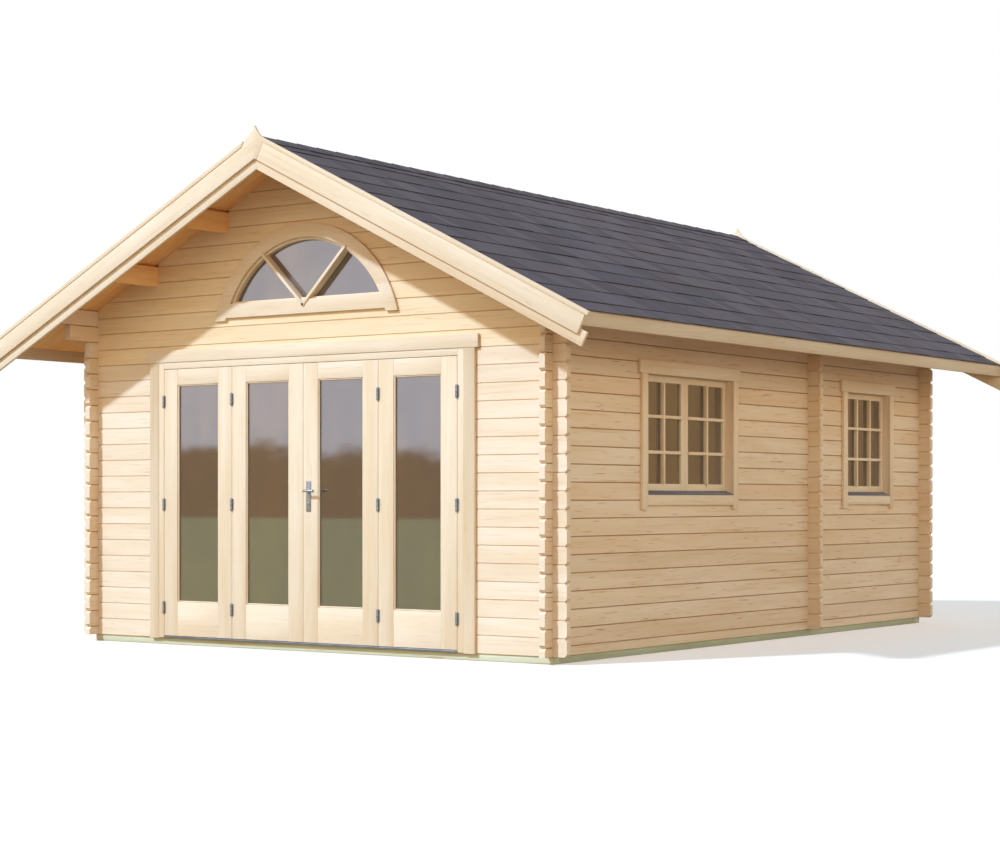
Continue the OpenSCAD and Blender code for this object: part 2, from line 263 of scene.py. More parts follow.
class Nodes:
    """A tree of shader nodes, with short ways to add to it."""

    def __init__(self, tree):
        self.tree = tree

    def add(self, kind, settings, values):
        """One node: its settings first, then the values or links of its sockets."""
        node = self.tree.nodes.new(kind)
        for key, value in settings.items():
            setattr(node, key, value)
        for key, value in values.items():
            self.feed(node.inputs[key], value)
        return node

    def feed(self, socket, value):
        if isinstance(value, Value):
            self.tree.links.new(value.socket, socket)
        elif isinstance(value, bpy.types.NodeSocket):
            self.tree.links.new(value, socket)
        else:
            socket.default_value = value

    def maths(self, operation, *numbers):
        node = self.add("ShaderNodeMath", {"operation": operation}, dict(enumerate(numbers)))
        return Value(self, node.outputs[0])

    def coordinates(self, kind):
        """The three numbers of one kind of coordinate."""
        where = self.add("ShaderNodeTexCoord", {}, {})
        split = self.add("ShaderNodeSeparateXYZ", {}, {0: where.outputs[kind]})
        return [Value(self, socket) for socket in split.outputs]

    def vector(self, x, y, z):
        return self.add("ShaderNodeCombineXYZ", {}, {0: x, 1: y, 2: z}).outputs[0]

    def noise(self, x, y, z, detail=2.0, rough=0.5, warp=0.0):
        node = self.add("ShaderNodeTexNoise", {},
                        {"Vector": self.vector(x, y, z), "Scale": 1.0, "Detail": detail,
                         "Roughness": rough, "Distortion": warp})
        return Value(self, node.outputs[0])

    def chance(self, number, salt):
        """A fixed random number from 0 to 1 for each whole number."""
        node = self.add("ShaderNodeTexWhiteNoise", {"noise_dimensions": "2D"},
                        {"Vector": self.vector(number, salt, 0.0)})
        return Value(self, node.outputs[0])

    def spots(self, x, y, z, keep):
        """Distance to the nearest of some scattered spots, of which a share is kept, and a
        random number for that spot."""
        node = self.add("ShaderNodeTexVoronoi", {}, {"Vector": self.vector(x, y, z), "Scale": 1.0})
        tint = self.add("ShaderNodeSeparateColor", {}, {0: node.outputs["Color"]})
        kept = Value(self, tint.outputs[0]) > 1 - keep
        far = (1 - kept) * 9.0
        return Value(self, node.outputs["Distance"]) + far, Value(self, tint.outputs[1])

    def mix(self, share, first, second):
        """A colour between two."""
        node = self.add("ShaderNodeMix", {"data_type": "RGBA", "blend_type": "MIX"},
                        {0: share, 6: first, 7: second})
        return node.outputs[2]

    def attribute(self, name):
        node = self.add("ShaderNodeAttribute", {"attribute_name": name}, {})
        return Value(self, node.outputs["Fac"])


class Finish(Nodes):
    """A material for one kind of surface."""

    def __init__(self, name, **constants):
        self.material = bpy.data.materials.new(name)
        self.material.use_nodes = True
        super().__init__(self.material.node_tree)
        self.shader = next(n for n in self.tree.nodes if n.type == "BSDF_PRINCIPLED")
        self.output = next(n for n in self.tree.nodes if n.type == "OUTPUT_MATERIAL")
        for socket, value in constants.items():
            self.shader.inputs[socket.replace("_", " ")].default_value = value

    def done(self, colour, rough=None, height=None, depth=0.001, strength=1.0, **others):
        self.feed(self.shader.inputs["Base Color"], colour)
        if rough is not None:
            self.feed(self.shader.inputs["Roughness"], rough)
        if height is not None:
            bump = self.add("ShaderNodeBump", {}, {"Strength": strength, "Distance": depth,
                                                   "Height": height})
            self.feed(self.shader.inputs["Normal"], bump.outputs[0])
        for socket, value in others.items():
            self.feed(self.shader.inputs[socket], value)
        return self.material


def srgb(red, green, blue):
    """A colour as painters' charts give it, from 0 to 255, as light."""
    def light(c):
        c /= 255
        return c / 12.92 if c <= 0.04045 else ((c + 0.055) / 1.055) ** 2.4
    return (light(red), light(green), light(blue), 1.0)


# ---- Wood: its light, middle and late growth, and its knots
SPRUCE = (srgb(238, 214, 182), srgb(230, 201, 162), srgb(199, 154, 104), srgb(140, 90, 50))
PLANED = (srgb(234, 209, 175), srgb(226, 196, 155), srgb(196, 151, 101), srgb(138, 88, 48))
# A warmer copy of the log palette for the gable wall: painted warm shade under the roof.
GABLE_SHADE_WARM = (srgb(240, 212, 168), srgb(233, 198, 147), srgb(203, 150, 94), srgb(144, 88, 46))
JOINERY = (srgb(231, 205, 169), srgb(223, 192, 150), srgb(194, 148, 98), srgb(138, 88, 48))
# A more orange palette for the roof boards and purlins: painted warm shade under the roof.
GOLDEN_SHADE_WARM = (srgb(251, 198, 132), srgb(244, 178, 104), srgb(218, 140, 72), srgb(150, 86, 40))
FASCIA = (srgb(214, 190, 158), srgb(206, 178, 140), srgb(178, 138, 92), srgb(126, 80, 44))
# A darker copy of the treated palette: painted shade for the beams along the sides.
TREATED_PAINTED_SHADE = (srgb(190, 194, 162), srgb(172, 174, 138), srgb(142, 138, 98), srgb(98, 86, 54))
TREATED = (srgb(214, 218, 184), srgb(194, 196, 158), srgb(160, 156, 112), srgb(110, 98, 62))
REDDER, RESIN = srgb(228, 180, 130), srgb(208, 148, 90)
# The seam colour stands for dust and painted shade in the joints between logs.
FLECK, SEAM_DUST_AND_SHADE = srgb(184, 118, 66), srgb(158, 104, 60)


def wood(name, lay, board, ends=None, tones=SPRUCE, tone_spread=1.0, knot_share=0.5, grain=1.0,
         seam=None, seam_shade=0.5):
    """Planed wood: lay gives the coordinates along and across the grain, board a number for
    each board, ends how far a surface looks along the grain, and seam where painted shade and
    dust lie in a joint."""
    light, middle, late, knot_colour = tones
    f = Finish(name, IOR=1.45)
    place = f.coordinates("Object")
    u, v, w = lay(*place)
    number = board(*place)
    tone, slide = f.chance(number, 1.7), f.chance(number, 5.3) * 37.0
    warm = f.chance(number, 9.1)
    along, across, deep = u + slide, v + slide, w + slide * 0.37

    # Knots, with the grain parting round them.
    per_metre = 1.9
    gap, size = f.spots(along * per_metre, v * per_metre + slide, w * per_metre, knot_share)
    reach = (gap / per_metre) / (0.005 + size * 0.009)
    knot = 1 - reach.step(0.75, 1.1)
    halo = 1 - reach.step(0.8, 3.2)
    parting = halo * 0.006

    wander = f.noise(along * 0.55, across * 2.0, deep * 2.0, 2.0)
    broad = f.noise(along * 0.9, across * 8.0, deep * 8.0, 3.0, 0.55)
    streak = f.noise(along * 1.6, (across + parting) * 46.0, deep * 46.0, 4.0, 0.62, 0.25)
    fibre = f.noise(along * 9.0, across * 330.0, deep * 330.0, 3.0, 0.6)
    # Growth rings, as long arches where the board cuts them.
    pith = (f.chance(number, 3.9) - 0.5) * 0.10
    rings = (v + pith + wander * 0.085 + parting) * 1250.0
    arches = (rings + broad * 5.0).sine() * 0.5 + 0.5
    fine = arches * 0.55 + streak * 0.9 - 0.25

    colour = f.mix(broad.step(0.30, 0.72), light, middle)
    colour = f.mix(streak.step(0.50, 0.80) * 0.34 * grain, colour, late)
    colour = f.mix(fine.step(0.35, 0.95) * 0.10, colour, late)
    colour = f.mix(fibre.step(0.52, 0.80) * 0.12 * grain, colour, late)
    # Each board has its own tone, paler or redder.
    colour = f.mix((tone - 0.55).step(0.0, 0.45) * 0.20 * tone_spread, colour, late)
    colour = f.mix((warm - 0.70).step(0.0, 0.30) * 0.25 * tone_spread, colour, REDDER)
    # A darker, resinous cast in long patches, and short dark flecks along the grain.
    resin = f.noise(along * 1.5, across * 38.0, deep * 38.0, 3.0, 0.55)
    colour = f.mix(resin.step(0.61, 0.76) * 0.46 * tone_spread, colour, RESIN)
    fleck = f.noise(along * 5.0, across * 85.0 + 9.0, deep * 85.0, 2.0, 0.5)
    colour = f.mix(fleck.step(0.63, 0.75) * 0.62 * tone_spread, colour, FLECK)
    colour = f.mix(halo * 0.28, colour, late)
    colour = f.mix(knot * 0.75, colour, knot_colour)
    # End grain is darker, with its rings in arcs round a hub beside the board.
    end = ends(*f.coordinates("Normal")).step(0.75, 0.95) if ends else 0.0
    hub = (f.chance(number, 6.6) - 0.5) * 0.08
    hub_v, hub_w = v + hub, w + 0.03
    waver = f.noise(u * 9.0, v * 40.0, w * 40.0, 2.0) * 3.0
    arcs = ((hub_v * hub_v + hub_w * hub_w).root() * 1500.0 + waver).sine() * 0.5 + 0.5
    colour = f.mix(end * 0.85, colour, f.mix(arcs * 0.22 + streak * 0.18, light, late))
    # The joints are darkened with painted shade and dust, patchy along the log.
    if seam is not None:
        seam_patchiness = f.noise(along * 2.5, v * 3.0, w * 3.0, 2.0)
        colour = f.mix(seam(*place) * (0.6 + seam_patchiness * 0.8) * seam_shade, colour, SEAM_DUST_AND_SHADE)
    rough = 0.52 + streak * 0.16 - knot * 0.12 + end * 0.12
    height = fibre * 0.35 + arches * 0.30 + streak * 0.5 - knot * 0.8 - end * arcs * 0.5
    return f.done(colour, rough, height, depth=0.0012, strength=0.55)


def grain_along_x(x, y, z):
    return x, z, y


def grain_along_y(x, y, z):
    return y, z, x


def grain_up_front(x, y, z):
    return z, x, y


def grain_up_side(x, y, z):
    return z, y, x


def grain_down_slope(x, y, z):
    return abs(x) * CA - z * SA, abs(x) * SA + z * CA, y


def faces_x(a, b, c):
    return abs(a)


def faces_y(a, b, c):
    return abs(b)


def faces_z(a, b, c):
    return abs(c)


def faces_slope(a, b, c):
    return abs(abs(a) * CA - c * SA)


def log_number(offset):
    """Each log's own number, from its height."""
    return lambda x, y, z: ((z - (FOOT + offset)) / COURSE + 20.0).floor()


def log_seam(offset):
    """Painted shade, with dust, in the joint between two logs."""
    def near(x, y, z):
        share = ((z - (FOOT + offset)) / COURSE + 20.5).fraction()
        return 1 - (abs(share - 0.5) * COURSE).step(0.0018, 0.0048)
    return near


def by_sides(extra):
    """A number for each quarter of the cabin, for boards that occur once on each side."""
    return lambda x, y, z: (x > 0.0) * 3.0 + (y > 0.0) * 5.0 + 11.0 + extra


def rake_board(name, extra, knot_share=0.3):
    return wood(name, grain_down_slope, by_sides(extra), faces_slope, PLANED, tone_spread=0.4,
                knot_share=knot_share, grain=0.7)


logs_across = wood("logs_across", grain_along_x, log_number(0.0), faces_x, tone_spread=0.45,
                   knot_share=0.35, grain=0.7, seam=log_seam(0.0), seam_shade=0.32)
# The gable wall takes the warmer palette, which paints the warm shade under the roof.
logs_gable = wood("logs_in_gable", grain_along_x, log_number(0.0), faces_x, GABLE_SHADE_WARM,
                  tone_spread=0.5, knot_share=0.35, grain=0.8, seam=log_seam(0.0), seam_shade=0.4)
logs_along = wood("logs_along", grain_along_y, log_number(COURSE / 2), faces_y, tone_spread=1.1,
                  grain=1.2, seam=log_seam(COURSE / 2), seam_shade=0.75)
rake_pine = rake_board("rake_boards", 0.0)
rake_pine_low = rake_board("rake_under_boards", 40.0)
rake_pine_cap = rake_board("rake_cap_strips", 80.0, knot_share=0.2)
fascia_pine = wood("fascia_boards", grain_along_y, lambda x, y, z: (x > 0.0) * 7.0 + 3.0, faces_y,
                   FASCIA, tone_spread=0.5, knot_share=0.4)
# The purlins take the orange palette, which paints the warm shade under the roof.
purlin_pine = wood("purlin_timber", grain_along_y, lambda x, y, z: (x * 1.7 + 20.0).floor(),
                   faces_y, GOLDEN_SHADE_WARM, tone_spread=0.5)
upright_pine = wood("upright_joinery", grain_up_front,
                    lambda x, y, z: (x * 3.119 + 40.0).floor() + (y > 0.0) * 3.0, faces_z, JOINERY,
                    tone_spread=0.3, knot_share=0.25, grain=0.5)
# The board over the doors is one length, and the rails below it are cut per leaf.
level_pine = wood("level_joinery", grain_along_x,
                  lambda x, y, z: ((x * (1 - (z > 1.93)) * 1.56 + 40.0).floor() + (z > 1.2) * 3.0),
                  faces_x, PLANED, tone_spread=0.3, knot_share=0.25, grain=0.5)
upright_side = wood("upright_side_joinery", grain_up_side,
                    lambda x, y, z: (y * 4.3 + 40.0).floor(), faces_z, tone_spread=0.35,
                    knot_share=0.25)
level_side = wood("level_side_joinery", grain_along_y,
                  lambda x, y, z: (z * 5.0 + 40.0).floor() + (y > 0.4) * 3.0, faces_y,
                  tone_spread=0.35, knot_share=0.25)
# The roof boards take the orange palette, which paints the warm shade under the roof.
soffit_pine = wood("roof_boards", grain_down_slope,
                   lambda x, y, z: ((y + 3.242) / 0.0968 + 100.0).floor() + (x > 0.0) * 300.0,
                   faces_slope, GOLDEN_SHADE_WARM, tone_spread=0.8)
floor_pine = wood("floor_boards_finish", lambda x, y, z: (y, x, z),
                  lambda x, y, z: ((x + 1.956) / 0.0869 + 50.0).floor() + (y > 0.72) * 77.0,
                  faces_y)
arch_pine = wood("arch_boards", grain_along_x, lambda x, y, z: (z > 2.43) * 2.0 + 5.0,
                 tones=PLANED, tone_spread=0.4, knot_share=0.2, grain=0.7)
treated_across = wood("treated_beams", grain_along_x, lambda x, y, z: (y * 1.1 + 30.0).floor(),
                      faces_x, TREATED, knot_share=0.6)
# The side beams take the darker copy of the treated palette, which is painted shade.
treated_along = wood("treated_side_beams", grain_along_y, lambda x, y, z: (x > 0.0) * 4.0 + 2.0,
                     faces_y, TREATED_PAINTED_SHADE, knot_share=0.6)
DIAGONAL = 0.7071                   # the bars of the arched window lie at 45 degrees
bar_pine = wood("bar_pine",
                lambda x, y, z: (abs(x) * DIAGONAL + z * DIAGONAL,
                                 z * DIAGONAL - abs(x) * DIAGONAL, y),
                lambda x, y, z: (x > 0.0) * 2.0 + 3.0, lambda a, b, c: abs(abs(a) + c) * DIAGONAL,
                tone_spread=0.4, knot_share=0.2)


# ---- Roofing, metal and glass
def shingle_finish():
    """Bitumen with slate granules, a little different on each tab."""
    f = Finish("slate_granule_shingle", IOR=1.5)
    x, y, z = f.coordinates("Object")
    tab, hue = f.attribute("tab_tone"), f.attribute("tab_hue")
    grit = f.noise(x * 420.0, y * 420.0, z * 420.0, 3.0, 0.7)
    speck = f.noise(x * 170.0 + 7.0, y * 170.0, z * 170.0, 2.0, 0.6)
    cloud = f.noise(x * 2.6, y * 2.6, z * 2.6, 3.0, 0.6)
    drift = f.noise(x * 17.0, y * 11.0, z * 17.0, 3.0, 0.6)
    shade = tab * 0.62 + cloud * 0.28 + drift * 0.22 - 0.06
    colour = f.mix(shade.step(0.10, 0.98), srgb(52, 43, 44), srgb(82, 69, 69))
    colour = f.mix(hue.step(0.62, 0.95) * 0.30, colour, srgb(80, 63, 57))
    colour = f.mix((1 - hue).step(0.65, 0.98) * 0.30, colour, srgb(58, 54, 60))
    colour = f.mix(grit.step(0.55, 0.75) * 0.22, colour, srgb(104, 92, 92))
    colour = f.mix(speck.step(0.58, 0.74) * 0.35, colour, srgb(36, 34, 38))
    return f.done(colour, 0.86 + grit * 0.1, grit * 0.7 + speck * 0.5, depth=0.0012, strength=0.8)


def metal_finish(name, pale, dark, metallic, rough, brushed):
    """Satin metal: fine brushing, slight cloudiness, and wear in small spots."""
    f = Finish(name, Metallic=metallic)
    x, y, z = f.coordinates("Object")
    fine = f.noise(x * brushed[0], y * brushed[1], z * brushed[2], 3.0, 0.6)
    cloud = f.noise(x * 14.0, y * 14.0, z * 14.0, 3.0, 0.6)
    spots = f.noise(x * 90.0 + 3.0, y * 90.0, z * 90.0, 2.0, 0.6)
    colour = f.mix(cloud.step(0.3, 0.7) * 0.6 + fine * 0.3, pale, dark)
    colour = f.mix(spots.step(0.66, 0.80) * 0.35, colour, (0.16, 0.13, 0.11, 1))
    return f.done(colour, rough + fine * 0.14 + cloud * 0.08, fine, depth=0.0003, strength=0.3)


def glass_finish():
    """Clear panes with a little uneven haze."""
    f = Finish("window_panes", IOR=1.52, Metallic=0.95)
    x, y, z = f.coordinates("Object")
    haze = f.noise(x * 3.1, y * 3.1, z * 1.6, 3.0, 0.6)
    wipe = f.noise(x * 24.0, y * 24.0, z * 5.0, 3.0, 0.6)
    colour = f.mix(haze.step(0.35, 0.7), srgb(172, 170, 172), srgb(182, 176, 172))
    return f.done(colour, 0.012 + wipe * 0.02, Alpha=0.70 + haze * 0.08)


fittings_steel = metal_finish("satin_fittings", srgb(172, 170, 168), srgb(142, 140, 140), 0.85,
                              0.30, (60.0, 60.0, 700.0))
sill_metal = metal_finish("coated_sill_metal", srgb(128, 134, 144), srgb(104, 110, 122), 0.35,
                          0.38, (300.0, 12.0, 300.0))
threshold_metal = metal_finish("threshold_metal", srgb(150, 150, 150), srgb(112, 112, 114), 0.8,
                               0.36, (9.0, 500.0, 500.0))
panes = glass_finish()
shingle = shingle_finish()


# ---- Carried-over shapes get their finishes
def coat(finish, *nodes):
    for node in nodes:
        slots = cad_nodes[node].data.materials
        slots.clear()
        slots.append(finish)


coat(logs_across, "front_wall_left", "front_wall_right", "back_wall", "partition_left",
     "partition_right", "partition_top")
coat(logs_gable, "front_gable_wall")
coat(logs_along, "left_wall", "right_wall")
coat(panes, "door_glass", "lunette_glass", "window_glass")
coat(treated_across, "floor_joists")


# ---- Boards whose edges are planed off
def planed(node, name, finishes, width, segments=2, second=None):
    """A CAD node with eased edges; the faces that the test picks get the second finish."""
    piece = finished(worked(node, width, segments), name, finishes, [node])
    if second:
        for face in piece.data.polygons:
            face.material_index = 1 if second(face.center) else 0
    return piece


for node, finish in (("front_bargeboards", rake_pine), ("back_bargeboards", rake_pine),
                     ("front_under_boards", rake_pine_low), ("back_under_boards", rake_pine_low),
                     ("front_cap_strips", rake_pine_cap), ("back_cap_strips", rake_pine_cap),
                     ("eave_fascias", fascia_pine)):
    planed(node, node + "_planed", [finish], 0.0025)
planed("purlins", "purlin_beams", [purlin_pine], 0.003)

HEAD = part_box("door_casing")[1].z - DOOR_CASING     # underside of the board over the doors
JAMB_IN = 1.2832                                    # inner faces of the door's side linings
planed("door_casing", "door_surround", [upright_pine, level_pine], 0.0022,
       second=lambda c: c.z > HEAD - 0.001)
planed("door_frame", "door_linings", [upright_pine, level_pine], 0.0018,
       second=lambda c: abs(c.x) < JAMB_IN and c.z > HEAD - HEAD_LINING)
planed("lunette_casing", "arched_surround", [arch_pine], 0.0030, 3)
planed("lunette_frame", "arched_frame", [arch_pine], 0.0020)

# ---- Boards round the side windows: two uprights, a lower board and a longer one over them
SIDE_FINISHES = [upright_side, level_side]
CASING_T, LOWER_T = 0.022, 0.0212   # the lower board is set back a little
LOWER_END, HEADER_H, HEADER_PAST = 0.098, 0.090, 0.100
JOINT = 0.0003                      # the fine gap where boards meet


def casing_board(y0, y1, z0, z1, thick, index):
    board = ease(timber((WALL_X, y0, z0), (WALL_X + thick, y1, z1)), 0.0022, 2)
    return with_finishes([board], SIDE_FINISHES, index)[0]


boards = []
for middle, wide in WINDOWS:
    a, b = middle - wide / 2, middle + wide / 2
    foot, head = SILL_Z - LOWER_END, LINTEL_Z - JOINT
    boards += [casing_board(a - WINDOW_CASING, a - JOINT, foot, head, CASING_T, 0),
               casing_board(b + JOINT, b + WINDOW_CASING, foot, head, CASING_T, 0),
               casing_board(a, b, SILL_Z - WINDOW_CASING, SILL_Z, LOWER_T, 1),
               casing_board(a - HEADER_PAST, b + HEADER_PAST, LINTEL_Z, LINTEL_Z + HEADER_H,
                            CASING_T, 1)]
finished(soften(join(boards)), "window_surrounds", [], ["window_casings"])

# ---- Linings of the side windows, base beams and metal strips
planed("window_frames", "window_linings", SIDE_FINISHES, 0.0018,
       second=lambda c: any(abs(c.y - y) < wide / 2 - 0.001 for y, wide in WINDOWS))
BEAM_X, BEAM_Y = 1.908, 2.658                       # inside of the beams under the four walls
planed("base_beams", "base_timbers", [treated_across, treated_along], 0.004,
       second=lambda c: abs(c.x) > BEAM_X and abs(c.y) < BEAM_Y)
planed("window_sills", "sill_flashings", [sill_metal], 0.0012)
planed("door_threshold", "threshold_strip", [threshold_metal], 0.0015)

# ---- Door leaves
FRONT_FINISHES = [upright_pine, level_pine]
STRIP = 0.010                       # width of a glazing strip
leaf_low, leaf_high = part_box("door_leaf_1")
glass_low, glass_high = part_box("door_glass")


def glazing_strips(x0, x1, z0, z1, y0, y1):
    """The strips that hold a pane, mitred in effect by their eased corners."""
    parts = [timber((x0, y0, z0), (x0 + STRIP, y1, z1)),
             timber((x1 - STRIP, y0, z0), (x1, y1, z1)),
             timber((x0 + STRIP, y0, z0), (x1 - STRIP, y1, z0 + STRIP)),
             timber((x0 + STRIP, y0, z1 - STRIP), (x1 - STRIP, y1, z1))]
    return join([ease(part, 0.004, 3) for part in parts])


def door_leaf(low, high):
    """Two stiles and two rails, each with its own eased edges, and the strips at the pane."""
    (x0, y0, z0), (x1, y1, z1) = low, high
    left, right = x0 + STILE, x1 - STILE
    y2, y3 = y0 + SET_BACK, y1 - SET_BACK
    uprights = [timber((x0, y0, z0), (left, y1, z1)), timber((right, y0, z0), (x1, y1, z1))]
    rails = [timber((left, y2, z0), (right, y3, z0 + LOW_RAIL)),
             timber((left, y2, z1 - TOP_RAIL), (right, y3, z1))]
    for part in uprights + rails:
        ease(part, 0.0018, 2)
    pane = (left, right, z0 + LOW_RAIL, z1 - TOP_RAIL)
    uprights, rails = join(uprights), join(rails)
    strips = join([glazing_strips(*pane, y0 + 0.006, glass_low.y),
                   glazing_strips(*pane, glass_high.y, y1 - 0.004)])
    with_finishes([uprights, strips], FRONT_FINISHES, 0)
    with_finishes([rails], FRONT_FINISHES, 1)
    return join([uprights, rails, strips])


first_leaf = soften(door_leaf(leaf_low, leaf_high))
for number, x in enumerate(LEAF_X, 1):
    leaf = first_leaf if number == 1 else moved(first_leaf, x - LEAF_X[0], 0, 0)
    node = f"door_leaf_{number}"
    finished(leaf, node + "_joinery", [], [node])

# ---- Hinges: a barrel of three knuckles with a cap at each end, and its two thin flaps
HINGE_R, HINGE_H = 0.007, 0.090
HINGE_X = (-1.282, -0.641, 0.641, 1.282)
HINGE_SHARES = (0.106, 0.493, 0.88)     # heights of a leaf's hinges, as shares of its own
CAP_H = 0.003
KNUCKLE_STEP, KNUCKLE_H = 0.0284, 0.0272
FLAP_W, FLAP_Y, FLAP_END = 0.016, (0.0045, 0.0068), 0.006


def hinge():
    """One hinge round the Z axis, standing on the origin."""
    parts = []
    for k in range(3):
        foot = CAP_H + k * KNUCKLE_STEP
        parts.append(ease(rod(HINGE_R, (0, 0, foot), (0, 0, foot + KNUCKLE_H), 20), 0.0012, 2))
    parts.append(rod(HINGE_R * 0.78, (0, 0, 0.004), (0, 0, HINGE_H - 0.004), 16))
    for z in (0.0, HINGE_H - CAP_H):
        parts.append(ease(rod(HINGE_R * 0.72, (0, 0, z), (0, 0, z + CAP_H), 16), 0.0016, 2))
    for side in (-1, 1):
        flap = timber((min(0, side * FLAP_W), FLAP_Y[0], FLAP_END),
                      (max(0, side * FLAP_W), FLAP_Y[1], HINGE_H - FLAP_END))
        parts.append(ease(flap, 0.0008, 1))
    return join(parts)


pattern = soften(hinge())
leaf_h = leaf_high.z - leaf_low.z
hinges = [moved(pattern, x, leaf_low.y - HINGE_R, leaf_low.z + share * leaf_h - HINGE_H / 2)
          for x in HINGE_X for share in HINGE_SHARES]
discard(pattern)
finished(join(hinges), "leaf_hinges", [fittings_steel], ["door_hinges"])

# ---- Handle: long plate, rose, neck and lever, with the lock's cylinder below
handle_low, handle_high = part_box("door_handle")
plate_x = LEAF_X[2] + 0.048
face_y = leaf_low.y
lever_z = FOOT + 1.031
lock_z = lever_z - 0.085
PLATE_HALF, PLATE_T = 0.020, 0.006
LEVER_OUT = 0.050                   # from the leaf's face to the middle of the lever


def stud(radius, start, end, z, sides=24):
    """A round piece that stands out of the plate, between two distances off the leaf."""
    return rod(radius, (plate_x, face_y - start, z), (plate_x, face_y - end, z), sides)


plate = ease(timber((plate_x - PLATE_HALF, face_y - PLATE_T, handle_low.z),
                    (plate_x + PLATE_HALF, face_y, handle_high.z)), 0.0045, 3)
rose = ease(stud(0.0145, PLATE_T, 0.013, lever_z, 28), 0.002, 2)
neck = stud(0.0085, 0.010, 0.044, lever_z)
lever = rod(0.0088, (plate_x - 0.009, face_y - LEVER_OUT, lever_z),
            (handle_high.x, face_y - LEVER_OUT, lever_z), 24)
take(lever)
bpy.ops.object.mode_set(mode="EDIT")
bpy.ops.mesh.select_all(action="SELECT")
bpy.ops.mesh.subdivide(number_cuts=1)
bpy.ops.object.mode_set(mode="OBJECT")
ease(lever, 0.004, 3)
lock = ease(stud(0.0085, 0.005, 0.011, lock_z), 0.0014, 2)
key_slot = ease(timber((plate_x - 0.0011, face_y - 0.0114, lock_z - 0.005),
                       (plate_x + 0.0011, face_y - 0.010, lock_z + 0.005)), 0.0004, 1)
screws = [ease(stud(0.0042, 0.005, 0.0075, z, 16), 0.0012, 2)
          for z in (handle_low.z + 0.016, handle_high.z - 0.016)]
finished(soften(join([plate, rose, neck, lever, lock, key_slot] + screws)), "lever_handle",
         [fittings_steel], ["door_handle"])

# ---- Window sashes with their glazing bars, inside and outside the panes
sash_low, sash_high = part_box("window_sashes")
MEMBER, BAR = 0.046, 0.022          # widths of a sash's own pieces and of its bars
SASH_PLAY = 0.0004
BAR_LAP = 0.002                     # how far a bar runs into the sash
LEVEL_BARS = (1.338, 1.577)
UPRIGHT_X = ((1.9442, 1.9745), (1.9250, 1.9358))
LEVEL_X = ((1.9442, 1.9740), (1.9254, 1.9358))
(double_y, double_w), (single_y, single_w) = WINDOWS
PANE_STEP, SINGLE_STEP = 0.291, 0.1145      # from a sash's middle line to its upright bars


def sash(y0, y1, upright_bars):
    """A sash in the side wall, as its upright and its level pieces."""
    x0, x1, z0, z1 = sash_low.x, sash_high.x, sash_low.z, sash_high.z
    x2, x3, a, b = x0 + SET_BACK, x1 - SET_BACK, y0 + MEMBER, y1 - MEMBER
    uprights = [timber((x0, y0, z0), (x1, a, z1)), timber((x0, b, z0), (x1, y1, z1))]
    levels = [timber((x2, a, z0), (x3, b, z0 + MEMBER)), timber((x2, a, z1 - MEMBER), (x3, b, z1))]
    for part in uprights + levels:
        ease(part, 0.003, 2)
    foot, head = z0 + MEMBER - BAR_LAP, z1 - MEMBER + BAR_LAP
    for y in upright_bars:
        for low, high in UPRIGHT_X:
            bar = timber((low, y - BAR / 2, foot), (high, y + BAR / 2, head))
            uprights.append(ease(bar, 0.0035, 2))
    for z in LEVEL_BARS:
        for low, high in LEVEL_X:
            bar = timber((low, a - BAR_LAP, z - BAR / 2), (high, b + BAR_LAP, z + BAR / 2))
            levels.append(ease(bar, 0.0035, 2))
    return uprights, levels


uprights, levels = [], []
for y0, y1, upright_bars in (
        (double_y - double_w / 2, double_y, (double_y - PANE_STEP,)),
        (double_y, double_y + double_w / 2, (double_y + PANE_STEP,)),
        (single_y - single_w / 2, single_y + single_w / 2,
         (single_y - SINGLE_STEP, single_y + SINGLE_STEP))):
    some_uprights, some_levels = sash(y0 + SASH_PLAY, y1 - SASH_PLAY, upright_bars)
    uprights += some_uprights
    levels += some_levels
uprights, levels = join(uprights), join(levels)
with_finishes([uprights], SIDE_FINISHES, 0)
with_finishes([levels], SIDE_FINISHES, 1)
finished(soften(join([uprights, levels])), "sashes_with_bars", [],
         ["window_sashes"])

# ---- The two bars of the arched window, in a V from the middle of its bottom rail
FORK_Z = 2.332
OUTER_BAR = (0.0105, -2.7810, -2.7715, -0.012, 0.524)   # half width, depth from and to, length
INNER_BAR = (0.0098, -2.7720, -2.7160, 0.020, 0.505)
bars = []
for side in (-1, 1):
    for half, y0, y1, foot, head in (OUTER_BAR, INNER_BAR):
        bar = ease(timber((-half, y0, foot), (half, y1, head)), 0.0022, 2)
        lean = Matrix.Rotation(math.radians(45 * side), 4, "Y")
        bar.data.transform(Matrix.Translation((0, 0, FORK_Z)) @ lean)
        bars.append(bar)
finished(soften(join(bars)), "arched_window_bars", [bar_pine])


# ---- Roof boards, each one planed with a V joint to the next
def on_slope(side):
    """From (down the slope, along the ridge, off the boards' underside) to the cabin's frame."""
    return Matrix(((side * CA, 0, side * SA, 0), (0, 1, 0, 0), (-SA, 0, CA, RIDGE), (0, 0, 0, 1)))


def down(x, height):
    """How far down the slope the line at x is, at a height over the boards' underside."""
    return (x - height * SA) / CA


def laid_on_slope(piece, side):
    """Turns what was modelled flat onto a slope; the left one is a mirror image."""
    piece.data.transform(on_slope(side))
    if side < 0:
        piece.data.flip_normals()
    return piece


